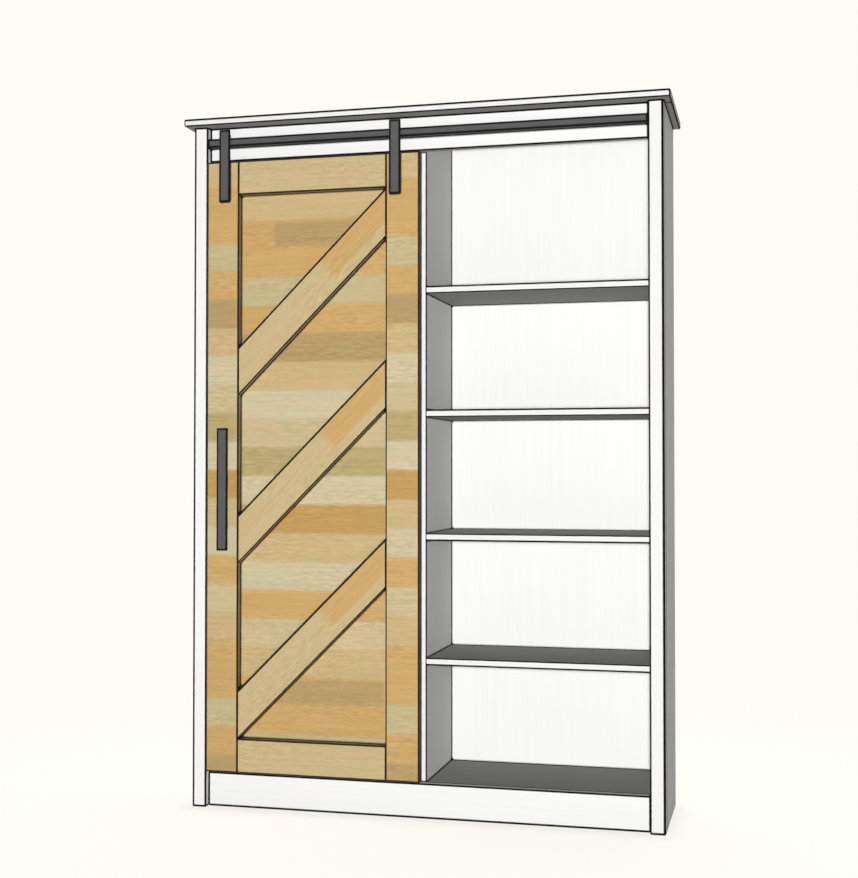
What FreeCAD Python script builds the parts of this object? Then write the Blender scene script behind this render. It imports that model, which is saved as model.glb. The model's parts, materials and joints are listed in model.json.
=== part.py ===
import FreeCAD, Part
import math
import os

from FreeCAD import Vector

# Barn door bookcase: an open case of painted boards with one sliding door of planks.
# Millimetres. X runs from left to right, Y from front to back and Z up. The origin is
# on the floor, at the middle of the overall width and depth.

# Case boards
case_width = 1231.9
case_height = 1790.7
post_width = 38.1
post_depth = 38.1
side_thickness = 19.05
side_depth = 285.75
divider_thickness = 19.05
shelf_thickness = 19.05
bottom_thickness = 19.05
back_thickness = 6.35
back_lap = 9.5
face_board_thickness = 19.05
face_board_setback = 19.05
header_height = 88.9
kick_height = 88.9
shelf_count = 4
first_shelf_rise = 315.1
shelf_pitch = 317.5
top_thickness = 19.05
top_front_overhang = 25.4
top_end_overhang = 19.05
eased_edge = 2.4

# Joints of the case: shelves in stopped housings, frame and top on dowels
housing_depth = 5.0
housing_stop = 12.0
dowel_diameter = 8.0
dowel_length = 36.0
dowel_short_end = 12.0
dowel_clearance = 0.05
dowel_end_gap = 1.0
dowel_edge_margin = 24.0
post_dowel_count = 3
side_dowel_count = 2

# Screws that hold the back
back_screw_diameter = 3.5
back_screw_head = 7.0
back_screw_length = 25.0
bay_bottom_screws = 2

# Door
door_width = 577.85
door_side_gap = 1.6
door_top_gap = 6.35
door_bottom_gap = 6.35
door_proud = 6.35
stile_width = 88.9
door_rail_height = 88.9
brace_width = 88.9
brace_angle = 45.0
middle_brace_lift = 8.5
frame_thickness = 19.05
panel_thickness = 6.35
door_eased_edge = 2.0

# Track on the header
track_height = 22.2
track_depth = 19.05
track_drop = 31.75
groove_width = 7.0
groove_depth = 2.5
groove_inset = 6.5
track_screw_count = 6
track_screw_diameter = 5.0
track_screw_head = 9.6
track_screw_bite = 11.0
metal_eased_edge = 1.2

# Hangers: strap, axle and roller
strap_width = 30.0
strap_thickness = 5.0
strap_lap = 107.0
strap_head = 12.7
left_strap_inset = 50.0
right_strap_inset = 64.0
strap_skin = 1.5
stud_diameter = 6.0
stud_margin = 24.0
stud_tail = 2.0
nut_width = 10.0
nut_height = 5.0
washer_diameter = 14.0
washer_thickness = 1.5
roller_diameter = 19.0
roller_side_clearance = 0.5
roller_gap = 0.2
roller_chamfer = 0.7
roller_web_recess = 0.9
bush_wall = 1.5
axle_diameter = 6.0
axle_clearance = 0.05
axle_tail = 1.6
collar_diameter = 10.0
ring_diameter = 10.6
ring_thickness = 1.0
ring_seat = 0.6
ring_slot = 3.6

# Pull handle
handle_width = 30.0
handle_length = 320.0
handle_thickness = 5.0
handle_reach = 12.7
handle_inset = 48.5
handle_height = 738.0
handle_skin = 1.5
standoff_diameter = 17.0
standoff_waist = 13.0
standoff_margin = 30.0
spigot_diameter = 8.0
handle_screw_diameter = 5.0
handle_screw_head = 9.5
handle_screw_head_height = 3.2
handle_screw_crown = 6.6
handle_screw_bite = 6.0

# Fits of fasteners in their holes
bolt_clearance = 0.25
thread_clearance = 0.02

# Planes of the case, each worked out from the sizes above
case_left = -case_width / 2
case_right = case_width / 2
overall_depth = top_front_overhang + post_depth + side_depth
top_front = -overall_depth / 2
post_front = top_front + top_front_overhang
post_back = post_front + post_depth
case_back = post_back + side_depth
shelf_back = case_back - back_thickness
face_front = post_front + face_board_setback
face_back = face_front + face_board_thickness
bay_left = case_left + side_thickness
bay_right = case_right - side_thickness
divider_left = -divider_thickness / 2
divider_right = divider_thickness / 2
opening_left = case_left + post_width
opening_right = case_right - post_width
header_bottom = case_height - header_height
bottom_low = kick_height - bottom_thickness
shelf_tops = [kick_height + first_shelf_rise + shelf_pitch * i for i in range(shelf_count)]

# Planes of the door at rest, closed to the left
door_left = opening_left + door_side_gap
door_right = door_left + door_width
door_bottom = kick_height + door_bottom_gap
door_top = header_bottom - door_top_gap
door_front = post_front - door_proud
frame_back = door_front + frame_thickness
door_back = frame_back + panel_thickness
field_left = door_left + stile_width
field_right = door_right - stile_width
field_bottom = door_bottom + door_rail_height
field_top = door_top - door_rail_height

# Track, roller and strap positions
track_back = face_front
track_front = track_back - track_depth
track_top = case_height - track_drop
groove_floor = track_top - groove_depth
groove_middle = track_front + groove_inset
roller_radius = roller_diameter / 2
roller_width = groove_width - 2 * roller_side_clearance
roller_front = groove_middle - roller_width / 2
roller_back = groove_middle + roller_width / 2
axle_height = groove_floor + roller_gap + roller_radius
strap_front = door_front - strap_thickness
strap_low = door_top - strap_lap
strap_high = axle_height + strap_head
strap_middles = {
    "left": door_left + left_strap_inset,
    "right": door_right - right_strap_inset,
}
stud_heights = [strap_low + stud_margin, door_top - stud_margin]

# Handle position
handle_middle = door_left + handle_inset
handle_low = door_bottom + handle_height - handle_length / 2
handle_high = handle_low + handle_length
handle_front = door_front - handle_reach
handle_bar_back = handle_front + handle_thickness
standoff_heights = [handle_low + standoff_margin, handle_high - standoff_margin]

X_AXIS = Vector(1, 0, 0)
Y_AXIS = Vector(0, 1, 0)
Z_AXIS = Vector(0, 0, 1)
SAME = 1e-6


def block(x, y, z):
    """A plain box between two planes on each axis."""
    corner = Vector(x[0], y[0], z[0])
    return Part.makeBox(x[1] - x[0], y[1] - y[0], z[1] - z[0], corner)


def plank(x, y, z, ease=eased_edge):
    """A board with every edge broken."""
    board = block(x, y, z)
    return board.makeChamfer(ease, board.Edges)


def ease_front(shape, front, ease):
    """Break the edges that lie in the plane of the front face."""
    edges = [e for e in shape.Edges if all(abs(v.Y - front) < SAME for v in e.Vertexes)]
    return shape.makeChamfer(ease, edges)


def housed_board(x, z):
    """A board that runs from the face frame to the back, with only its front edges broken."""
    return ease_front(block(x, (post_back, shelf_back), z), post_back, eased_edge)


def rod(radius, start, end):
    """A round bar from one point to another."""
    along = end - start
    return Part.makeCylinder(radius, along.Length, start, along)


def turned(profile, x, z):
    """Turn a profile of (radius, y) points about the line along Y through x and z."""
    points = [Vector(radius, y, 0) for radius, y in profile]
    outline = Part.makePolygon(points + points[:1])
    solid = Part.Face(outline).revolve(Vector(0, 0, 0), Y_AXIS, 360)
    solid.translate(Vector(x, 0, z))
    return solid


def spread(low, high, count):
    """Places at the middles of equal shares between two limits."""
    share = (high - low) / count
    return [low + share * (i + 0.5) for i in range(count)]


def dowel(middle, along):
    """A dowel whose joint face is at middle; its short end points along."""
    start = middle - along * (dowel_length - dowel_short_end)
    pin = rod(dowel_diameter / 2, start, middle + along * dowel_short_end)
    return pin.makeChamfer(dowel_end_gap / 2, pin.Edges)


def dowel_hole(middle, along):
    """The hole for one dowel, through both boards that it joins."""
    radius = dowel_diameter / 2 + dowel_clearance
    start = middle - along * (dowel_length - dowel_short_end + dowel_end_gap)
    return rod(radius, start, middle + along * (dowel_short_end + dowel_end_gap))


def top_dowel_seats():
    """Dowels that stand in the sides, the divider and the posts and enter the top."""
    uprights = [case_left + side_thickness / 2, 0, case_right - side_thickness / 2]
    depths = spread(post_back, shelf_back, side_dowel_count)
    seats = [Vector(x, y, case_height) for x in uprights for y in depths]
    for x in (case_left + post_width / 2, case_right - post_width / 2):
        seats.append(Vector(x, post_front + post_depth / 2, case_height))
    return [(seat, Z_AXIS) for seat in seats]


def frame_dowel_seats():
    """Dowels that join the ends of the header and the kick plate to the posts."""
    middle = (face_front + face_back) / 2
    seats = []
    for low, high in ((0, kick_height), (header_bottom, case_height)):
        for z in (low + dowel_edge_margin, high - dowel_edge_margin):
            seats.append((Vector(opening_left, middle, z), -X_AXIS))
            seats.append((Vector(opening_right, middle, z), X_AXIS))
    return seats


def post_dowel_seats():
    """Dowels that join the posts to the front edges of the sides."""
    seats = []
    for x in (case_left + side_thickness / 2, case_right - side_thickness / 2):
        for z in spread(0, header_bottom, post_dowel_count):
            seats.append((Vector(x, post_back, z), -Y_AXIS))
    return seats


def holes_for(seats):
    return [dowel_hole(middle, along) for middle, along in seats]


def back_screw_places():
    """One screw in each upright behind every compartment, and a row in the bottom."""
    floors = [kick_height] + shelf_tops
    ceilings = [top - shelf_thickness for top in shelf_tops] + [case_height]
    heights = [(low + high) / 2 for low, high in zip(floors, ceilings)]
    uprights = [bay_left - back_lap / 2, 0, bay_right + back_lap / 2]
    places = [(x, z) for x in uprights for z in heights]
    bottom_middle = (bottom_low + kick_height) / 2
    for low, high in ((bay_left, divider_left), (divider_right, bay_right)):
        places += [(x, bottom_middle) for x in spread(low, high, bay_bottom_screws)]
    return places


def countersunk_screw(x, z, face, length, diameter, head, inward, gap=0.0):
    """A countersunk screw, or its hole if gap is given, driven inward from a face."""
    radius = diameter / 2 + gap
    head_radius = head / 2 + gap
    sink = head_radius - radius
    tip = face + inward * (length + gap)
    return turned([(0, face), (head_radius, face), (radius, face + inward * sink),
                   (radius, tip), (0, tip)], x, z)


def back_screw(place, gap=0.0):
    return countersunk_screw(place[0], place[1], case_back, back_screw_length,
                             back_screw_diameter, back_screw_head, -1, gap)


def track_screw(x, gap=0.0):
    length = face_board_thickness + track_screw_bite
    z = track_top - track_height / 2
    return countersunk_screw(x, z, face_back, length, track_screw_diameter,
                             track_screw_head, -1, gap)


def shelf(low, high, top):
    """A shelf between two uprights, with tongues that stop short of its front edge."""
    x = (low - housing_depth, high + housing_depth)
    z = (top - shelf_thickness, top)
    return notch_ends(housed_board(x, z), x, z)


def notch_ends(body, x, z):
    """Cut the two front corners back, so that the stopped housings don't show."""
    stop = (post_back, post_back + housing_stop)
    for end in ((x[0], x[0] + housing_depth), (x[1] - housing_depth, x[1])):
        body = body.cut(block(end, stop, z))
    return body


def housing(x, top, thickness):
    """The stopped groove in an upright that takes the end of a shelf."""
    return block(x, (post_back + housing_stop, shelf_back), (top - thickness, top))


def side_panel(outer, inner):
    """A side with its housings, the rabbet for the back, and dowel and screw holes."""
    inward = 1 if inner > outer else -1
    body = plank(sorted((outer, inner)), (post_back, case_back), (0, case_height))
    groove = sorted((inner - inward * housing_depth, inner))
    cuts = [housing(groove, top, shelf_thickness) for top in shelf_tops]
    cuts.append(housing(groove, kick_height, bottom_thickness))
    rabbet = sorted((inner - inward * back_lap, inner))
    cuts.append(block(rabbet, (shelf_back, case_back), (bottom_low, case_height)))
    return body.cut(cuts + holes_for(top_dowel_seats() + post_dowel_seats()) + back_holes())


def back_holes():
    return [back_screw(place, thread_clearance) for place in back_screw_places()]


def divider():
    """The upright between the bays, housed in the bottom and doweled to the top."""
    foot = kick_height - housing_depth
    body = housed_board((divider_left, divider_right), (foot, case_height))
    stop = (post_back, post_back + housing_stop)
    cuts = [block((divider_left, divider_right), stop, (foot, kick_height))]
    for groove in ((divider_left, divider_left + housing_depth),
                   (divider_right - housing_depth, divider_right)):
        cuts += [housing(groove, top, shelf_thickness) for top in shelf_tops]
    return body.cut(cuts + holes_for(top_dowel_seats()) + back_holes())


def bottom_panel():
    x = (bay_left - housing_depth, bay_right + housing_depth)
    z = (bottom_low, kick_height)
    body = notch_ends(housed_board(x, z), x, z)
    seat = housing((divider_left, divider_right), kick_height, housing_depth)
    return body.cut([seat] + back_holes())


def front_post(x):
    body = plank(x, (post_front, post_back), (0, case_height))
    return body.cut(holes_for(top_dowel_seats() + frame_dowel_seats() + post_dowel_seats()))


def face_board(low, high):
    """The header or the kick plate, between the posts."""
    body = plank((opening_left, opening_right), (face_front, face_back), (low, high))
    return body.cut(holes_for(frame_dowel_seats()))


def header():
    body = face_board(header_bottom, case_height)
    return body.cut([track_screw(x, bolt_clearance) for x in track_screw_xs()])


def top_board(y):
    x = (case_left - top_end_overhang, case_right + top_end_overhang)
    body = plank(x, y, (case_height, case_height + top_thickness))
    return body.cut(holes_for(top_dowel_seats()))


def back_panel():
    x = (bay_left - back_lap, bay_right + back_lap)
    body = block(x, (shelf_back, case_back), (bottom_low, case_height))
    return body.cut(back_holes())


def track_screw_xs():
    return spread(opening_left, opening_right, track_screw_count)


def track():
    """The bar that carries the rollers in a groove along its top."""
    body = plank((opening_left, opening_right), (track_front, track_back),
                 (track_top - track_height, track_top), metal_eased_edge)
    groove = block((opening_left, opening_right),
                   (groove_middle - groove_width / 2, groove_middle + groove_width / 2),
                   (groove_floor, track_top))
    return body.cut([groove] + [track_screw(x, thread_clearance) for x in track_screw_xs()])


def stud_places():
    return [(x, z) for x in strap_middles.values() for z in stud_heights]


def door_holes():
    """Clearance holes through the door for the hanger studs and the handle screws."""
    stud_hole = stud_diameter / 2 + bolt_clearance
    screw_hole = handle_screw_diameter / 2 + bolt_clearance
    places = [(stud_hole, x, z) for x, z in stud_places()]
    places += [(screw_hole, handle_middle, z) for z in standoff_heights]
    return [rod(r, Vector(x, door_front, z), Vector(x, door_back, z)) for r, x, z in places]


def door_board(x, z):
    """A stile or a rail of the door's frame, planted on the panel."""
    body = block(x, (door_front, frame_back), z)
    return ease_front(body, door_front, door_eased_edge).cut(door_holes())


def brace(rise):
    """A slanted board between the stiles; rise is its lower edge's height at the left."""
    slope = math.tan(math.radians(brace_angle))
    climb = (field_right - field_left) * slope
    tall = brace_width / math.cos(math.radians(brace_angle))
    corners = [Vector(field_left, door_front, rise),
               Vector(field_right, door_front, rise + climb),
               Vector(field_right, door_front, rise + climb + tall),
               Vector(field_left, door_front, rise + tall)]
    outline = Part.makePolygon(corners + corners[:1])
    body = Part.Face(outline).extrude(Vector(0, frame_thickness, 0))
    return ease_front(body, door_front, door_eased_edge)


def brace_rises():
    """The lowest brace starts in the lower left corner, the highest ends in the upper right.

    The middle one sits a little above halfway between them.
    """
    slope = math.tan(math.radians(brace_angle))
    climb = (field_right - field_left) * slope
    tall = brace_width / math.cos(math.radians(brace_angle))
    highest = field_top - tall - climb
    middle = (field_bottom + highest) / 2 + middle_brace_lift
    return {"lower": field_bottom, "middle": middle, "upper": highest}


def hanger_strap(middle):
    """A flat strap with two studs welded to its back and a blind seat for the axle."""
    x = (middle - strap_width / 2, middle + strap_width / 2)
    bar = plank(x, (strap_front, door_front), (strap_low, strap_high), metal_eased_edge)
    stud_end = door_back + washer_thickness + nut_height + stud_tail
    studs = [rod(stud_diameter / 2, Vector(middle, door_front, z), Vector(middle, stud_end, z))
             for z in stud_heights]
    seat = rod(axle_diameter / 2 + thread_clearance,
               Vector(middle, strap_front + strap_skin, axle_height),
               Vector(middle, door_front, axle_height))
    return bar.fuse(studs).removeSplitter().cut(seat)


def washer(x, z):
    bore = stud_diameter / 2 + bolt_clearance
    return turned([(bore, door_back), (washer_diameter / 2, door_back),
                   (washer_diameter / 2, door_back + washer_thickness),
                   (bore, door_back + washer_thickness)], x, z)


def nut(x, z):
    low = door_back + washer_thickness
    reach = nut_width / 2 / math.cos(math.radians(30))
    corners = [Vector(x + reach * math.cos(math.radians(60 * i)), low,
                      z + reach * math.sin(math.radians(60 * i))) for i in range(6)]
    outline = Part.makePolygon(corners + corners[:1])
    body = Part.Face(outline).extrude(Vector(0, nut_height, 0))
    bore = stud_diameter / 2 + thread_clearance
    return body.cut(rod(bore, Vector(x, low, z), Vector(x, low + nut_height, z)))


def ring_front():
    return roller_back + roller_side_clearance / 2


def roller_axle(middle):
    """A turned pin: spigot in the strap, collar, journal and a seat for the ring."""
    journal = axle_diameter / 2
    seat = journal - ring_seat
    ring_back = ring_front() + ring_thickness
    collar_end = roller_front - roller_side_clearance / 2
    tail = ring_back + axle_tail
    return turned([(0, strap_front + strap_skin), (journal, strap_front + strap_skin),
                   (journal, door_front), (collar_diameter / 2, door_front),
                   (collar_diameter / 2, collar_end), (journal, collar_end),
                   (journal, ring_front()), (seat, ring_front()), (seat, ring_back),
                   (journal, ring_back), (journal, tail), (0, tail)], middle, axle_height)


def retaining_ring(middle):
    """A snap ring that stays in the axle's seat, open at the bottom."""
    bore = axle_diameter / 2 - ring_seat + thread_clearance
    low = ring_front() + thread_clearance
    high = ring_front() + ring_thickness - thread_clearance
    outer = ring_diameter / 2
    ring = turned([(bore, low), (outer, low), (outer, high), (bore, high)], middle, axle_height)
    slot = block((middle - ring_slot / 2, middle + ring_slot / 2), (low, high),
                 (axle_height - ring_diameter, axle_height))
    return ring.cut(slot)


def bush_radius():
    return axle_diameter / 2 + axle_clearance + bush_wall


def roller(middle):
    """A small wheel with a chamfered tread and recessed faces."""
    hub = bush_radius()
    rim = roller_radius - roller_chamfer
    web_low = hub + (rim - hub) / 4
    web_high = rim - (rim - hub) / 4
    front = roller_front
    back = roller_back
    return turned([(hub, front), (web_low, front), (web_low, front + roller_web_recess),
                   (web_high, front + roller_web_recess), (web_high, front), (rim, front),
                   (roller_radius, front + roller_chamfer),
                   (roller_radius, back - roller_chamfer), (rim, back), (web_high, back),
                   (web_high, back - roller_web_recess), (web_low, back - roller_web_recess),
                   (web_low, back), (hub, back)], middle, axle_height)


def roller_bush(middle):
    bore = axle_diameter / 2 + axle_clearance
    return turned([(bore, roller_front), (bush_radius(), roller_front),
                   (bush_radius(), roller_back), (bore, roller_back)], middle, axle_height)


def handle_bar():
    x = (handle_middle - handle_width / 2, handle_middle + handle_width / 2)
    bar = plank(x, (handle_front, handle_bar_back), (handle_low, handle_high), metal_eased_edge)
    radius = spigot_diameter / 2 + thread_clearance
    return bar.cut([rod(radius, Vector(handle_middle, handle_front + handle_skin, z),
                        Vector(handle_middle, handle_bar_back, z)) for z in standoff_heights])


def standoff(z):
    """A waisted foot of the handle, with a spigot in the bar and a tapped hole behind."""
    foot = standoff_diameter / 2
    waist = standoff_waist / 2
    tap = handle_screw_diameter / 2 + thread_clearance
    spigot = spigot_diameter / 2
    spigot_end = handle_front + handle_skin
    hole_end = door_front - handle_screw_bite - thread_clearance
    middle = (handle_bar_back + door_front) / 2
    edges = [Part.makePolygon([Vector(foot, door_front, 0), Vector(tap, door_front, 0),
                               Vector(tap, hole_end, 0), Vector(0, hole_end, 0),
                               Vector(0, spigot_end, 0), Vector(spigot, spigot_end, 0),
                               Vector(spigot, handle_bar_back, 0),
                               Vector(foot, handle_bar_back, 0)])]
    edges.append(Part.Arc(Vector(foot, handle_bar_back, 0), Vector(waist, middle, 0),
                          Vector(foot, door_front, 0)).toShape())
    outline = Part.Wire(Part.__sortEdges__([e for part in edges for e in part.Edges]))
    body = Part.Face(outline).revolve(Vector(0, 0, 0), Y_AXIS, 360)
    body.translate(Vector(handle_middle, 0, z))
    return body


def handle_screw(z):
    """A domed screw driven from behind the door into a foot of the handle."""
    radius = handle_screw_diameter / 2
    head = handle_screw_head / 2
    crown = door_back + handle_screw_head_height
    shoulder = door_back + handle_screw_head_height / 2
    tip = door_front - handle_screw_bite
    return turned([(0, tip), (radius, tip), (radius, door_back), (head, door_back),
                   (head, shoulder), (handle_screw_crown / 2, crown), (0, crown)], handle_middle, z)


def case_parts():
    """Everything that stands still."""
    parts = {
        "left_side_panel": side_panel(case_left, bay_left),
        "right_side_panel": side_panel(case_right, bay_right),
        "centre_divider": divider(),
        "bottom_panel": bottom_panel(),
        "back_panel": back_panel(),
        "left_front_post": front_post((case_left, opening_left)),
        "right_front_post": front_post((opening_right, case_right)),
        "header_board": header(),
        "kick_plate": face_board(0, kick_height),
        "top_front_board": top_board((top_front, post_back)),
        "top_main_board": top_board((post_back, case_back)),
        "track_rail": track(),
        "track_screws": Part.makeCompound([track_screw(x) for x in track_screw_xs()]),
        "back_panel_screws": Part.makeCompound([back_screw(p) for p in back_screw_places()]),
    }
    for number, top in enumerate(shelf_tops, 1):
        parts[f"left_shelf_{number}"] = shelf(bay_left, divider_left, top)
        parts[f"right_shelf_{number}"] = shelf(divider_right, bay_right, top)
    groups = {
        "top_dowels": top_dowel_seats(),
        "face_frame_dowels": frame_dowel_seats(),
        "post_dowels": post_dowel_seats(),
    }
    for name, seats in groups.items():
        parts[name] = Part.makeCompound([dowel(middle, along) for middle, along in seats])
    return parts


def door_parts():
    """The door, its hangers and its handle, which slide together."""
    parts = {
        "door_panel": block((door_left, door_right), (frame_back, door_back),
                            (door_bottom, door_top)).cut(door_holes()),
        "door_left_stile": door_board((door_left, field_left), (door_bottom, door_top)),
        "door_right_stile": door_board((field_right, door_right), (door_bottom, door_top)),
        "door_top_rail": door_board((field_left, field_right), (field_top, door_top)),
        "door_bottom_rail": door_board((field_left, field_right), (door_bottom, field_bottom)),
        "hanger_washers": Part.makeCompound([washer(x, z) for x, z in stud_places()]),
        "hanger_nuts": Part.makeCompound([nut(x, z) for x, z in stud_places()]),
        "handle_bar": handle_bar(),
        "handle_lower_standoff": standoff(standoff_heights[0]),
        "handle_upper_standoff": standoff(standoff_heights[1]),
        "handle_screws": Part.makeCompound([handle_screw(z) for z in standoff_heights]),
    }
    for name, rise in brace_rises().items():
        parts[f"door_{name}_brace"] = brace(rise)
    for side, middle in strap_middles.items():
        parts[f"{side}_hanger_strap"] = hanger_strap(middle)
        parts[f"{side}_roller_axle"] = roller_axle(middle)
        parts[f"{side}_retaining_ring"] = retaining_ring(middle)
    return parts


def roller_parts():
    """The two rollers, which turn on their axles as the door slides."""
    parts = {}
    for side, middle in strap_middles.items():
        parts[f"{side}_roller"] = roller(middle)
        parts[f"{side}_roller_bush"] = roller_bush(middle)
    return parts


os.makedirs("parts", exist_ok=True)
for node, shape in {**case_parts(), **door_parts(), **roller_parts()}.items():
    shape.exportStep(f"parts/{node}.step")
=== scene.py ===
import json
import math

import bmesh
import bpy
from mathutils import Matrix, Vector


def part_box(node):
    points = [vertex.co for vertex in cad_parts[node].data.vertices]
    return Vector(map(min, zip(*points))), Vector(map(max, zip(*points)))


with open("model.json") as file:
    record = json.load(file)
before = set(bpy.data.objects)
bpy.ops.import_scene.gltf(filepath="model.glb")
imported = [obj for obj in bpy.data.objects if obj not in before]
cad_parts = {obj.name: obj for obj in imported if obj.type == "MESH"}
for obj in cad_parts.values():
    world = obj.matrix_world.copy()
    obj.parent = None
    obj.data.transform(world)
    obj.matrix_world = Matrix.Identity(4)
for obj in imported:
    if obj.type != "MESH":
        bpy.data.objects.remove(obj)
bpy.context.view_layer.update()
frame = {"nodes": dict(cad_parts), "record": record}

# Looks of a white painted bookcase with a sliding door of laminated wood.
# Metres, in the row frame: X to the right, Y to the back, Z up.

# Camera at the photograph's viewing angle; angles in degrees
CAMERA_PLACE = (0.8891, -3.6023, 0.8863)
CAMERA_YAW = 14.0404
CAMERA_PITCH = 1.2248
CAMERA_FIELD = 34.685

# Soft key lamp at the camera: its place, its radius and the level that it gives a white face turned to it
KEY_PLACE = (0.89, -3.62, 0.89)
KEY_RADIUS = 0.09
KEY_LEVEL = 0.95

# Even light on the sides that the camera doesn't see: turns about X, Y and Z in degrees, and level
FILLS = {
    "fill_left": ((0.0, -90.0, 0.0), 0.52),
    "fill_back": ((-90.0, 0.0, 0.0), 0.36),
    "fill_top": ((0.0, 0.0, 0.0), 0.48),
}
FILL_SPREAD = 2.0

# Even light on faces that the key lamp leaves dim, without shadows and only on the boards named: turns, level
# and boards
BOARD_FILLS = {
    "fill_fronts": ((90.0, 0.0, 0.0), 0.055, ("back_panel", "left_front_post", "header_board", "kick_plate")),
    "fill_bay_sides": ((0.0, -90.0, 0.0), 0.22, ("centre_divider", "right_side_panel")),
    "fill_bay_tops": ((0.0, 0.0, 0.0), 0.09, ("left_shelf_2", "left_shelf_3", "left_shelf_4",
                                              "right_shelf_2", "right_shelf_3", "right_shelf_4")),
}

# Level of the studio's walls: dark in front, brighter from the middle to the share given, towards the back
BACK_WALL = 1.18
BACK_WALL_FROM = 0.9

# Stage
BACKGROUND = (255, 252, 247)
FLOOR_SIZE = 80.0
FLOOR_GAP = 0.0005
FLOOR_WHITE = 0.22
FLOOR_LEVEL = 0.20
FADE_START = 1.4
FADE_END = 3.0

# Tones, written as display colours from 0 to 255
PAINT_LIGHT = (247, 247, 246)
PAINT_SHADE = (244, 244, 242)
PAINT_RUBBED = (18, 18, 17)
# Tone of the painted shade in the paint's inner corners
PAINT_CORNER_SHADE = (24, 24, 23)
WOOD_TONES = {
    "tan": (206, 180, 131),
    "sand": (206, 186, 143),
    "honey": (206, 168, 108),
    "cream": (210, 196, 159),
    "amber": (192, 154, 91),
    "olive": (186, 167, 116),
    "brown": (185, 156, 106),
    "straw": (200, 184, 138),
}
WOOD_EDGE = (20, 15, 10)
# Tone of the painted shade in the door's inner corners
WOOD_CORNER_SHADE = (30, 22, 14)
METAL_GREY = (91, 91, 92)
METAL_EDGE = (6, 6, 7)
ZINC = (196, 198, 201)
BRONZE = (188, 158, 110)
NYLON = (46, 46, 47)

# How strongly each finish mirrors light: the shader's specular level
PAINT_GLOSS = 0.04
WOOD_GLOSS = 0.18
METAL_GLOSS = 0.12
NYLON_GLOSS = 0.4

# Share of light that the paint throws on to other faces
PAINT_BOUNCE = 0.34

# Share of the paint's tone left on undersides and on the tops of the lower boards, as painted shade, which
# some boards have of their own, and share of the wood's tone left on the sides of the door's boards, also
# painted shade
PAINTED_FLAT_SHADE = 0.57
PAINTED_FLAT_SHADES = {"bottom_panel": 0.46, "top_front_board": 0.42, "top_main_board": 0.42}
SHADE_PAINTED_TOPS = ("bottom_panel", "left_shelf_1", "left_shelf_2", "right_shelf_1", "right_shelf_2")
WOOD_SIDE_SHADE = 0.50

# Widths of the worn, dark edges of paint: at most this share of a thin board, and wider on outer sides
PAINT_LINE = 0.0046
THIN_LINE = 0.16
BOLD_LINE = 0.0066
SHELF_BOLD_LINE = 0.0050

# Widths on the door's boards: free edges, butted ones, the lower edges of the braces, and the sides of the
# right stile and the panel, which are painted dark all over as shade; and the width on steel
FREE_LINE = 0.0044
BUTT_LINE = 0.0016
SLIGHT_LINE = 0.0030
SHADED_LINE = 0.0095
METAL_LINE = 0.0056

# How hard a line ends, and how far the painted shade of an inner corner reaches
LINE_SOFT = 0.75
CORNER_SHADE_REACH = 0.0078

# Outer sides of painted boards whose edges are worn most
BOLD_SIDES = {
    "left_front_post": ("-X", "-Z"),
    "right_front_post": ("+X", "-Z"),
    "kick_plate": ("-Z",),
    "top_front_board": ("+Z",),
    "top_main_board": ("+Z",),
}
for bay in ("left", "right"):
    for number, side in enumerate(("-Z", "-Z", "+Z", "+Z"), 1):
        BOLD_SIDES[f"{bay}_shelf_{number}"] = (side,)

# Texture scales: along the board and across it
PAINT_BRUSH = (14.0, 620.0)
PAINT_GRAIN = (2.5, 110.0)
WOOD_GRAIN = (3.5, 150.0)
WOOD_FIBRES = (18.0, 900.0)
WOOD_PORES = (60.0, 1400.0)
WOOD_CAST = (6.0, 34.0)
WOOD_SPECKLE = (38.0, 190.0)
WOOD_PATCHES = (3.0, 14.0)
WOOD_DRIFT = (2.0, 9.0)
WOOD_FEATHER = (30.0, 420.0)

# Texture scales that are the same all ways
PAINT_CLOUDS = 3.0
PAINT_CHIPS = 45.0
COAT_PEEL = 1100.0
COAT_CLOUDS = 14.0
TOOL_MARKS = 900.0
METAL_STAINS = 120.0
NYLON_SKIN = 1500.0

# Laminated board: strips glued up one above another, named from below
LAYUP = ("honey", "tan", "sand", "honey", "cream", "tan", "amber", "cream", "olive",
         "sand", "cream", "tan", "brown", "honey", "straw", "honey")
STRIP_HEIGHT = 0.0744
STILE_LAYUP_START = 0.3635
PANEL_LAYUP_START = 0.2730
GLUE_LINE = 0.0005
STRIP_BLUR = 0.05
FEATHER = 0.04
SHORT_STRIP_ROW = 0
SHORT_STRIP = (-0.400, -0.090)
SHORT_STRIP_FADE = 0.012

# Slanted braces: grain angle in degrees, where honey starts along them and across their lower strip
BRACE_ANGLE = 45.0
BRACE_HONEY = (0.68, 0.73)
BRACE_STRIP = (0.022, 0.032)


def linear(colour):
    """A display colour as the renderer's linear red, green, blue and alpha."""
    shares = [channel / 255 for channel in colour]
    return [s / 12.92 if s <= 0.04045 else ((s + 0.055) / 1.055) ** 2.4 for s in shares] + [1.0]


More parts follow.
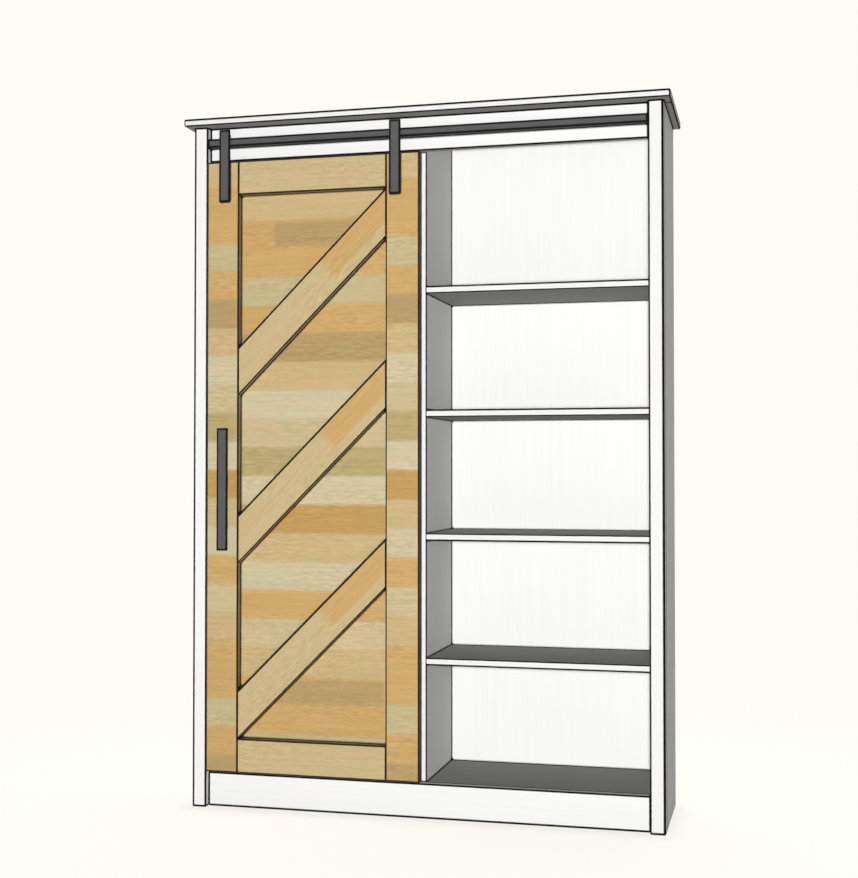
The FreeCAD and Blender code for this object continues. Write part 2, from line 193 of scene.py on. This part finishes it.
class Nodes:
    """Short calls for the nodes of one material, lamp or world."""

    def __init__(self, tree):
        self.tree = tree

    def add(self, kind, inputs=None, **settings):
        made = self.tree.nodes.new("ShaderNode" + kind)
        for name, value in settings.items():
            setattr(made, name, value)
        for key, value in (inputs or {}).items():
            self.feed(made.inputs[key], value)
        return made

    def feed(self, socket, value):
        if isinstance(value, bpy.types.NodeSocket):
            self.tree.links.new(value, socket)
        else:
            socket.default_value = value

    def math(self, operation, *values):
        made = self.add("Math", dict(enumerate(values)), operation=operation)
        return made.outputs[0]

    def vector(self, operation, *values):
        made = self.add("VectorMath", dict(enumerate(values)), operation=operation)
        return made.outputs["Vector"]

    def axes(self, vector):
        """The X, Y and Z of a vector."""
        return self.add("SeparateXYZ", {0: vector}).outputs[:3]

    def between(self, value, start, end, low=0.0, high=1.0):
        """Low at start and high at end, straight in between and level outside."""
        made = self.add("MapRange", {"Value": value, "From Min": start, "From Max": end,
                                     "To Min": low, "To Max": high})
        return made.outputs["Result"]

    def mix(self, share, first, second):
        made = self.add("Mix", {"Factor": share}, data_type="RGBA")
        self.feed(made.inputs[6], first)
        self.feed(made.inputs[7], second)
        return made.outputs[2]

    def scaled(self, colour, factor):
        """A colour made lighter or darker by a factor."""
        made = self.add("VectorMath", {0: colour, "Scale": factor}, operation="SCALE")
        return made.outputs["Vector"]

    def noise(self, place, detail=3.0, roughness=0.5):
        made = self.add("TexNoise", {"Vector": place, "Scale": 1.0, "Detail": detail,
                                     "Roughness": roughness})
        return made.outputs["Fac"]


class Finish(Nodes):
    """A material laid out in the row frame; turn leans its grain from X towards Z (degrees)."""

    def __init__(self, name, turn=0.0, constants=None):
        self.material = bpy.data.materials.new(name)
        self.material.use_nodes = True
        super().__init__(self.material.node_tree)
        self.shader = self.tree.nodes["Principled BSDF"]
        for socket, value in (constants or {}).items():
            self.shader.inputs[socket].default_value = value
        self.frame = self.add("TexCoord")
        self.row_place = self.frame.outputs["Object"]
        self.place = self.turned(self.row_place, turn)
        self.random = self.add("ObjectInfo").outputs["Random"]

    def turned(self, vector, turn):
        if not turn:
            return vector
        made = self.add("VectorRotate", {"Vector": vector, "Angle": math.radians(turn)},
                        rotation_type="Y_AXIS")
        return made.outputs["Vector"]

    def stretched(self, scale, axis="X"):
        """The place, scaled along an axis and across it, or evenly, and shifted for each object."""
        lengthwise, across = scale if isinstance(scale, tuple) else (scale, scale)
        scales = [lengthwise if name == axis else across for name in "XYZ"]
        shift = self.add("CombineXYZ", {0: self.math("MULTIPLY", self.random, 37.0),
                                        1: self.math("MULTIPLY", self.random, 17.0), 2: 0.0})
        return self.vector("MULTIPLY_ADD", self.place, scales, shift.outputs[0])

    def edge_line(self, place, low, high, widths, high_widths=None):
        """1 within the widths of a box's edges and 0 on its faces; high sides may have their own widths."""
        from_low = self.vector("DIVIDE", self.vector("SUBTRACT", place, list(low)), widths)
        from_high = self.vector("DIVIDE", self.vector("SUBTRACT", list(high), place), high_widths or widths)
        x, y, z = self.axes(self.vector("MINIMUM", from_low, from_high))
        middle = self.math("MAXIMUM", self.math("MINIMUM", x, y),
                           self.math("MINIMUM", self.math("MAXIMUM", x, y), z))
        return self.between(middle, 1.0, LINE_SOFT)

    def painted_corner_shade(self):
        """Painted shade: 1 deep in a corner where two boards meet and 0 in the open, from ambient occlusion.
        """
        made = self.add("AmbientOcclusion", {"Distance": CORNER_SHADE_REACH}, samples=8)
        return self.between(made.outputs["AO"], 0.82, 0.66)

    def faces_along_y(self):
        """1 on faces turned to the front or the back and 0 on the sides."""
        x, y, z = self.axes(self.frame.outputs["Normal"])
        return self.between(self.math("ABSOLUTE", y), 0.3, 0.6)

    def faces_along_z(self, both_ways):
        """1 on faces turned down, or also on those turned up, and 0 on the rest."""
        x, y, z = self.axes(self.frame.outputs["Normal"])
        flat = self.math("ABSOLUTE", z) if both_ways else self.math("MULTIPLY", z, -1.0)
        return self.between(flat, 0.5, 0.8)

    def bounced(self):
        """1 for light that comes to a face by way of another face."""
        return self.add("LightPath").outputs["Is Diffuse Ray"]

    def finish(self, colour, roughness, height, depth, strength):
        bump = self.add("Bump", {"Height": height, "Distance": depth, "Strength": strength})
        self.feed(self.shader.inputs["Base Color"], colour)
        self.feed(self.shader.inputs["Roughness"], roughness)
        self.feed(self.shader.inputs["Normal"], bump.outputs["Normal"])
        return self.material


def longest_axis(node):
    low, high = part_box(node)
    size = high - low
    return max("XYZ", key=lambda axis: size["XYZ".index(axis)])


def rubbed_widths(node):
    """Widths of a painted board's dark edges along X, Y and Z: on its low sides and on its high sides."""
    low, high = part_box(node)
    at_low = [min(PAINT_LINE, THIN_LINE * length) for length in high - low]
    at_high = list(at_low)
    bold = SHELF_BOLD_LINE if "shelf" in node else BOLD_LINE
    for side in BOLD_SIDES.get(node, ()):
        widths = at_high if side[0] == "+" else at_low
        widths["XYZ".index(side[1])] = bold
    return at_low, at_high


def white_paint(node):
    """Matt paint brushed along the board, with the grain faintly showing, dark rubbed edges, and painted
    shade on undersides, on the tops of lower boards and in inner corners.
    """
    f = Finish(f"white_paint_{node}", constants={"Specular IOR Level": PAINT_GLOSS})
    axis = longest_axis(node)
    brush = f.noise(f.stretched(PAINT_BRUSH, axis), detail=4.0)
    grain = f.noise(f.stretched(PAINT_GRAIN, axis), detail=5.0, roughness=0.6)
    cloud = f.noise(f.stretched(PAINT_CLOUDS), detail=2.0)
    colour = f.mix(cloud, linear(PAINT_SHADE), linear(PAINT_LIGHT))
    colour = f.scaled(colour, f.between(grain, 0.35, 0.6, 0.975, 1.0))
    # Undersides, and the tops of the lower boards, darkened as painted shade
    painted_flat_shade = PAINTED_FLAT_SHADES.get(node, PAINTED_FLAT_SHADE)
    flat = f.faces_along_z(node in SHADE_PAINTED_TOPS)
    colour = f.scaled(colour, f.between(flat, 0.0, 1.0, 1.0, painted_flat_shade))
    chipped = f.between(f.noise(f.stretched(PAINT_CHIPS), detail=4.0), 0.3, 0.55, 0.985, 1.0)
    rubbed = f.edge_line(f.row_place, *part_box(node), *rubbed_widths(node))
    colour = f.mix(f.math("MULTIPLY", rubbed, chipped), colour, linear(PAINT_RUBBED))
    # Painted shade in inner corners, from ambient occlusion
    colour = f.mix(f.math("MULTIPLY", f.painted_corner_shade(), chipped), colour, linear(PAINT_CORNER_SHADE))
    colour = f.scaled(colour, f.between(f.bounced(), 0.0, 1.0, 1.0, PAINT_BOUNCE))
    height = f.math("ADD", f.math("MULTIPLY", brush, 0.4), f.math("MULTIPLY", grain, 0.6))
    return f.finish(colour, f.between(brush, 0.3, 0.7, 0.78, 0.92), height, 0.0004, 0.35)


def wood_grain(f):
    """Long grain, fine fibres and short dark pores, all along the strip."""
    long_grain = f.noise(f.stretched(WOOD_GRAIN), detail=6.0, roughness=0.62)
    fibres = f.noise(f.stretched(WOOD_FIBRES), detail=3.0)
    pores = f.between(f.noise(f.stretched(WOOD_PORES), detail=1.0), 0.64, 0.74)
    return long_grain, fibres, pores


def mottled(f, colour):
    """Wood that drifts between a greener and a pinker cast, with speckled patches."""
    cast = f.noise(f.stretched(WOOD_CAST), detail=3.0)
    cast = f.between(cast, 0.34, 0.66)
    colour = f.vector("MULTIPLY", colour, f.mix(cast, [0.97, 1.012, 0.985, 1.0], [1.03, 0.988, 1.01, 1.0]))
    speckle = f.noise(f.stretched(WOOD_SPECKLE), detail=3.0, roughness=0.6)
    patch = f.between(f.noise(f.stretched(WOOD_PATCHES), detail=1.0), 0.40, 0.62, 0.25, 1.0)
    shade = f.math("MULTIPLY", f.between(speckle, 0.32, 0.68, -0.13, 0.11), patch)
    return f.scaled(colour, f.math("ADD", 1.0, shade))


def lacquered(f, colour, edges, glue=0.0):
    """Finish a wood tone: grain, glue lines, sides darkened as painted shade, dark edges, painted shade in
    inner corners, and a clear matt lacquer.
    """
    long_grain, fibres, pores = wood_grain(f)
    colour = mottled(f, colour)
    colour = f.scaled(colour, f.between(long_grain, 0.28, 0.72, 0.93, 1.06))
    colour = f.scaled(colour, f.between(fibres, 0.3, 0.7, 0.965, 1.03))
    colour = f.scaled(colour, f.math("SUBTRACT", 1.0, f.math("MULTIPLY", pores, 0.12)))
    colour = f.scaled(colour, f.math("SUBTRACT", 1.0, f.math("MULTIPLY", glue, 0.12)))
    # Sides of the door's boards darkened as painted shade
    colour = f.scaled(colour, f.between(f.faces_along_y(), 0.0, 1.0, WOOD_SIDE_SHADE, 1.0))
    worn = f.between(long_grain, 0.3, 0.7, 0.985, 1.0)
    colour = f.mix(f.math("MULTIPLY", edges, worn), colour, linear(WOOD_EDGE))
    # Painted shade in inner corners, from ambient occlusion
    colour = f.mix(f.painted_corner_shade(), colour, linear(WOOD_CORNER_SHADE))
    height = f.math("ADD", f.math("MULTIPLY", long_grain, 0.6), f.math("MULTIPLY", fibres, 0.4))
    height = f.math("SUBTRACT", height, f.math("MULTIPLY", pores, 0.5))
    height = f.math("SUBTRACT", height, glue)
    return f.finish(colour, f.between(fibres, 0.3, 0.7, 0.52, 0.66), height, 0.0003, 0.4)


def layup_ramp(f, share):
    """The tone of each strip, from below, as its share of the whole lay-up goes from 0 to 1."""
    ramp = f.add("ValToRGB", {"Fac": share})
    stops = ramp.color_ramp.elements
    stops.remove(stops[-1])
    for number, tone in enumerate(LAYUP):
        for rows in (number + STRIP_BLUR, number + 1 - STRIP_BLUR):
            position = rows / len(LAYUP)
            if rows == STRIP_BLUR:
                stop = stops[0]
                stop.position = position
            else:
                stop = stops.new(position)
            stop.color = linear(WOOD_TONES[tone])
    return ramp.outputs["Color"]


def short_strip(f, rows, x):
    """1 on the one short strip in its row, fading at its ends and edges."""
    across = f.math("ABSOLUTE", f.math("SUBTRACT", rows, SHORT_STRIP_ROW + 0.5))
    middle = (SHORT_STRIP[0] + SHORT_STRIP[1]) / 2
    half = (SHORT_STRIP[1] - SHORT_STRIP[0]) / 2
    from_middle = f.math("ABSOLUTE", f.math("SUBTRACT", x, middle))
    return f.math("MULTIPLY", f.between(across, 0.5, 0.5 - 3 * STRIP_BLUR),
                  f.between(from_middle, half, half - SHORT_STRIP_FADE))


def laminated_wood(node, start, widths):
    """Level strips glued up one above another, the first of them starting at a height."""
    f = Finish(f"{node}_wood", constants={"Specular IOR Level": WOOD_GLOSS})
    x, y, z = f.axes(f.place)
    rows = f.math("DIVIDE", f.math("SUBTRACT", z, start), STRIP_HEIGHT)
    feather = f.noise(f.stretched(WOOD_FEATHER), detail=2.0)
    toned = f.math("ADD", rows, f.between(feather, 0.3, 0.7, -FEATHER, FEATHER))
    share = f.math("FRACT", f.math("DIVIDE", toned, float(len(LAYUP))))
    colour = layup_ramp(f, share)
    short = short_strip(f, f.math("MULTIPLY", share, float(len(LAYUP))), x)
    colour = f.mix(short, colour, linear(WOOD_TONES["brown"]))
    tint = f.add("TexWhiteNoise", {"W": f.math("FLOOR", rows)}, noise_dimensions="1D")
    colour = f.scaled(colour, f.between(tint.outputs["Value"], 0.0, 1.0, 0.98, 1.02))
    to_joint = f.math("MULTIPLY", f.math("PINGPONG", rows, 0.5), STRIP_HEIGHT)
    edges = f.edge_line(f.row_place, *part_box(node), widths)
    return lacquered(f, colour, edges, f.between(to_joint, GLUE_LINE, 0.0))


def drifting(f, first, second):
    """One wood tone that drifts into another along the board."""
    drift = f.noise(f.stretched(WOOD_DRIFT), detail=2.0)
    return f.mix(drift, linear(WOOD_TONES[first]), linear(WOOD_TONES[second]))


def rail_wood(node):
    """One level board between the stiles."""
    f = Finish(f"{node}_wood", constants={"Specular IOR Level": WOOD_GLOSS})
    edges = f.edge_line(f.row_place, *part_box(node), [BUTT_LINE, FREE_LINE, FREE_LINE])
    return lacquered(f, drifting(f, "sand", "tan"), edges)


def brace_wood(node):
    """A slanted board of two strips: the upper one turns to honey towards its high end."""
    f = Finish(f"{node}_wood", turn=BRACE_ANGLE, constants={"Specular IOR Level": WOOD_GLOSS})
    low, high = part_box(node)
    cosine = math.cos(math.radians(BRACE_ANGLE))
    sine = math.sin(math.radians(BRACE_ANGLE))
    length = (high.x - low.x) / cosine
    start = low.x * cosine + low.z * sine
    lower_edge = low.z * cosine - low.x * sine
    upper_edge = high.z * cosine - high.x * sine
    along_brace, depth, across = f.axes(f.place)
    x, y, z = f.axes(f.row_place)
    far = f.between(along_brace, start + BRACE_HONEY[0] * length, start + BRACE_HONEY[1] * length)
    upper = f.between(across, lower_edge + BRACE_STRIP[0], lower_edge + BRACE_STRIP[1])
    colour = f.mix(f.math("MULTIPLY", far, upper), drifting(f, "sand", "tan"), linear(WOOD_TONES["honey"]))
    board = f.add("CombineXYZ", {0: x, 1: depth, 2: across}).outputs[0]
    edges = f.edge_line(board, (low.x, low.y, lower_edge), (high.x, high.y, upper_edge),
                        [BUTT_LINE, FREE_LINE, SLIGHT_LINE], [BUTT_LINE, FREE_LINE, BOLD_LINE])
    return lacquered(f, colour, edges)


def dowel_wood():
    """Bare turned pegs."""
    f = Finish("dowel_wood", constants={"Specular IOR Level": WOOD_GLOSS})
    return lacquered(f, drifting(f, "tan", "sand"), 0.0)


def dark_steel(node, edged=True):
    """Grey powder coat with a fine orange peel, and darker edges on flat pieces."""
    f = Finish(f"dark_steel_{node}", constants={"Specular IOR Level": METAL_GLOSS})
    peel = f.noise(f.stretched(COAT_PEEL), detail=2.0)
    cloud = f.noise(f.stretched(COAT_CLOUDS), detail=3.0)
    colour = f.scaled(linear(METAL_GREY)[:3], f.between(cloud, 0.3, 0.7, 0.92, 1.06))
    colour = f.scaled(colour, f.between(peel, 0.3, 0.7, 0.93, 1.05))
    if edged:
        edges = f.edge_line(f.row_place, *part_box(node), [METAL_LINE] * 3)
        colour = f.mix(edges, colour, linear(METAL_EDGE))
    return f.finish(colour, f.between(peel, 0.3, 0.7, 0.52, 0.66), peel, 0.0002, 0.35)


def bare_metal(name, tone, roughness):
    """Plated or sintered metal with faint tool marks and stains."""
    f = Finish(name, constants={"Metallic": 1.0})
    marks = f.noise(f.stretched(TOOL_MARKS), detail=3.0)
    stain = f.noise(f.stretched(METAL_STAINS), detail=3.0)
    colour = f.scaled(linear(tone)[:3], f.between(stain, 0.3, 0.7, 0.85, 1.05))
    return f.finish(colour, f.between(stain, 0.3, 0.7, roughness, roughness + 0.18), marks, 0.0001, 0.3)


def nylon():
    """Black moulded nylon, slightly polished by running."""
    f = Finish("roller_nylon", constants={"Specular IOR Level": NYLON_GLOSS})
    skin = f.noise(f.stretched(NYLON_SKIN), detail=2.0)
    colour = f.scaled(linear(NYLON)[:3], f.between(skin, 0.3, 0.7, 0.85, 1.1))
    return f.finish(colour, f.between(skin, 0.3, 0.7, 0.42, 0.58), skin, 0.0001, 0.3)


def give(material, *nodes):
    """Put a material on CAD nodes in place of what they came with."""
    for name in nodes:
        mesh = frame["nodes"][name].data
        mesh.materials.clear()
        mesh.materials.append(material)


def dress_door():
    # The right stile's sides and the panel's sides are painted dark all over as shade
    for side, depth_line in (("left", FREE_LINE), ("right", SHADED_LINE)):
        node = f"door_{side}_stile"
        give(laminated_wood(node, STILE_LAYUP_START, [FREE_LINE, depth_line, FREE_LINE]), node)
    panel_lines = [BUTT_LINE, SHADED_LINE, BUTT_LINE]
    give(laminated_wood("door_panel", PANEL_LAYUP_START, panel_lines), "door_panel")
    for end in ("top", "bottom"):
        node = f"door_{end}_rail"
        give(rail_wood(node), node)
    for height in ("lower", "middle", "upper"):
        node = f"door_{height}_brace"
        give(brace_wood(node), node)


def dress():
    """Give every CAD node the finish of its slot."""
    shared = {
        "zinc_steel": bare_metal("zinc_steel", ZINC, 0.38),
        "bush_bronze": bare_metal("bush_bronze", BRONZE, 0.40),
        "roller_nylon": nylon(),
        "dowel_wood": dowel_wood(),
    }
    for part in frame["record"]["subparts"]:
        node, slot = part["node"], part["material_slot"]
        if slot == "white_paint":
            give(white_paint(node), node)
        elif slot == "dark_steel":
            give(dark_steel(node, edged="standoff" not in node), node)
        elif slot in shared:
            give(shared[slot], node)
    dress_door()


def seen_ray(nodes):
    """1 for rays that show the stage: straight from the camera, mirrored or let through."""
    path = nodes.add("LightPath")
    seen = nodes.math("MAXIMUM", path.outputs["Is Camera Ray"], path.outputs["Is Glossy Ray"])
    return nodes.math("MAXIMUM", seen, path.outputs["Is Transmission Ray"])


def set_world():
    world = bpy.data.worlds.new("studio")
    world.use_nodes = True
    world.node_tree.nodes.clear()
    nodes = Nodes(world.node_tree)
    x, y, z = nodes.axes(nodes.add("TexCoord").outputs["Generated"])
    level = nodes.between(y, 0.0, BACK_WALL_FROM, 0.0, BACK_WALL)
    ambient = nodes.add("Background", {"Color": (1, 1, 1, 1), "Strength": level})
    backdrop = nodes.add("Background", {"Color": linear(BACKGROUND), "Strength": 1.0})
    shown = nodes.add("MixShader", {0: seen_ray(nodes), 1: ambient.outputs[0], 2: backdrop.outputs[0]})
    nodes.add("OutputWorld", {"Surface": shown.outputs[0]})
    bpy.context.scene.world = world


def floor_material():
    """Pale floor: it takes the object's shadow near by and fades into the backdrop."""
    material = bpy.data.materials.new("floor")
    material.use_nodes = True
    material.node_tree.nodes.clear()
    nodes = Nodes(material.node_tree)
    tint = linear(BACKGROUND)
    pale = [channel * FLOOR_WHITE for channel in tint[:3]] + [1.0]
    lit = nodes.add("BsdfDiffuse", {"Color": pale})
    topped_up = nodes.math("MULTIPLY", seen_ray(nodes), 1 - FLOOR_LEVEL)
    glow = nodes.add("Emission", {"Color": tint, "Strength": topped_up})
    near = nodes.add("AddShader", {0: lit.outputs[0], 1: glow.outputs[0]})
    place = nodes.add("TexCoord").outputs["Object"]
    distance = nodes.add("VectorMath", {0: place}, operation="LENGTH").outputs["Value"]
    backdrop = nodes.add("Emission", {"Color": tint, "Strength": 1.0})
    far = nodes.math("MULTIPLY", seen_ray(nodes), nodes.between(distance, FADE_START, FADE_END))
    shown = nodes.add("MixShader", {0: far, 1: near.outputs[0], 2: backdrop.outputs[0]})
    nodes.add("OutputMaterial", {"Surface": shown.outputs[0]})
    return material


def set_floor():
    mesh = bpy.data.meshes.new("floor")
    build = bmesh.new()
    bmesh.ops.create_grid(build, x_segments=1, y_segments=1, size=FLOOR_SIZE / 2)
    build.to_mesh(mesh)
    build.free()
    mesh.materials.append(floor_material())
    floor = bpy.data.objects.new("floor", mesh)
    floor.location.z = -FLOOR_GAP
    bpy.context.scene.collection.objects.link(floor)


def place_lamp(name, kind):
    lamp = bpy.data.lights.new(name, kind)
    holder = bpy.data.objects.new(name, lamp)
    bpy.context.scene.collection.objects.link(holder)
    return lamp, holder


def set_key():
    """A soft lamp that lights near and far faces alike."""
    lamp, holder = place_lamp("key", "POINT")
    lamp.energy = KEY_LEVEL * 4 * math.pi ** 2
    lamp.shadow_soft_size = KEY_RADIUS
    lamp.use_nodes = True
    nodes = Nodes(lamp.node_tree)
    level = nodes.add("LightFalloff", {"Strength": 1.0}).outputs["Constant"]
    nodes.feed(lamp.node_tree.nodes["Emission"].inputs["Strength"], level)
    holder.location = KEY_PLACE
    holder.visible_camera = False


def place_fill(name, turns, level):
    lamp, holder = place_lamp(name, "SUN")
    lamp.energy = level * math.pi
    lamp.angle = math.radians(FILL_SPREAD)
    holder.rotation_euler = [math.radians(turn) for turn in turns]
    return lamp, holder


def set_fills():
    for name, (turns, level) in FILLS.items():
        place_fill(name, turns, level)
    for name, (turns, level, boards) in BOARD_FILLS.items():
        lamp, holder = place_fill(name, turns, level)
        lamp.use_shadow = False
        lit = bpy.data.collections.new(name)
        for board in boards:
            lit.objects.link(frame["nodes"][board])
        holder.light_linking.receiver_collection = lit


def set_camera():
    lens = bpy.data.cameras.new("camera")
    lens.angle = math.radians(CAMERA_FIELD)
    camera = bpy.data.objects.new("camera", lens)
    camera.location = CAMERA_PLACE
    camera.rotation_euler = (math.radians(90 + CAMERA_PITCH), 0, math.radians(CAMERA_YAW))
    bpy.context.scene.collection.objects.link(camera)
    bpy.context.scene.camera = camera


set_camera()
set_world()
set_floor()
set_key()
set_fills()
dress()
bpy.context.scene.view_settings.view_transform = "Standard"
